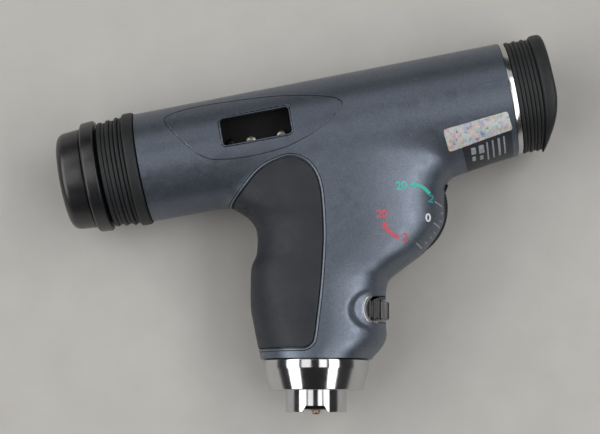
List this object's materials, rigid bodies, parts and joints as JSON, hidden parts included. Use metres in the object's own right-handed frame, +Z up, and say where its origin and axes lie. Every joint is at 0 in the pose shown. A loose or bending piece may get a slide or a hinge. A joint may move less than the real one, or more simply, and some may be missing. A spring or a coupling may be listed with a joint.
{
  "type": "ophthalmoscope head",
  "caption": "Wide-view eye-examination head with an angled viewing barrel, a gripped neck, a focusing wheel, an aperture dial and a bayonet base for a power handle.",
  "frame": {"origin": "middle of the underside of the part as it lies on its side", "axes": "+X towards the observer's end, within 10.4 degrees of the viewing axis; -Y along the neck to the bayonet base; +Z up, across the instrument, out of the side with the window and the printed scale"},
  "size_m": [0.1562, 0.119, 0.0367],
  "materials": {
    "housing": "blue-grey moulded plastic with a fine metallic sparkle, semi-matte",
    "grip": "smooth semi-matte dark grey rubber",
    "rubber": "matte black moulded rubber",
    "gloss_black": "smooth glossy black",
    "inner_black": "matte black",
    "wheel_black": "satin black moulded plastic",
    "chrome": "polished chrome plate",
    "steel": "bright turned steel",
    "gilt": "bright gilt contact",
    "glass": "clear coated optical glass",
    "green_glass": "green filter glass",
    "mirror": "front-surface mirror",
    "foil": "shifting metallic foil film",
    "label": "blank dark film label"
  },
  "bodies": {
    "housing": {"housing_near": "housing", "housing_far": "housing", "side_panel_near": "housing", "side_panel_far": "housing", "grip_pad": "grip", "foil_label": "foil", "rating_label": "label", "chassis": "inner_black", "screw_plate": "inner_black", "window_screw_1": "steel", "window_screw_2": "steel", "window_screw_3": "steel", "front_bumper": "rubber", "objective_lens": "glass", "objective_retainer": "inner_black", "rear_trim_ring": "chrome", "brow_rest": "rubber", "eyepiece_lens": "glass", "eyepiece_retainer": "inner_black", "mirror_holder": "inner_black", "mirror": "mirror", "guide_rod_near": "steel", "guide_rod_far": "steel", "wheel_axle": "steel", "light_frame": "inner_black", "condenser_tube": "inner_black", "condenser_lens": "glass", "projection_lens": "glass", "aperture_axle": "steel", "detent_spring": "steel", "base_skirt": "chrome", "bayonet_barrel": "chrome", "lamp_sleeve": "inner_black"},
    "wheel": {"focus_wheel": "wheel_black"},
    "carriage": {"lens_carriage": "inner_black", "focus_lens": "glass"},
    "dial": {"aperture_dial": "wheel_black", "red_free_filter": "green_glass"},
    "nose": {"nose_ring": "gloss_black", "nose_cap": "gloss_black", "nose_lens": "glass"},
    "lamp": {"lamp_body": "steel", "lamp_bulb": "glass", "lamp_contact": "gilt"}
  },
  "joints": [
    {"name": "focus_turn", "type": "hinge", "parent": "housing", "child": "wheel", "pos_m": [0.02883, 0.0049, 0.01835], "axis": [0, 0, 1], "range_deg": [-150, 150]},
    {"name": "carriage_slide", "type": "slide", "parent": "housing", "child": "carriage", "axis": [-0.9836, -0.1805, 0], "range_m": [-0.0038, 0.0038]},
    {"name": "aperture_turn", "type": "hinge", "parent": "housing", "child": "dial", "pos_m": [0.01353, -0.0271, 0.01835], "axis": [0, 1, 0], "continuous": true},
    {"name": "nose_pull", "type": "slide", "parent": "housing", "child": "nose", "axis": [-0.9836, -0.1805, 0], "range_m": [0, 0.02]},
    {"name": "lamp_pull", "type": "slide", "parent": "housing", "child": "lamp", "axis": [0, -1, 0], "range_m": [0, 0.03]}
  ],
  "couplings": [
    {"joint": "carriage_slide", "follows": "focus_turn", "m_per_rad": 0.0014324}
  ]
}
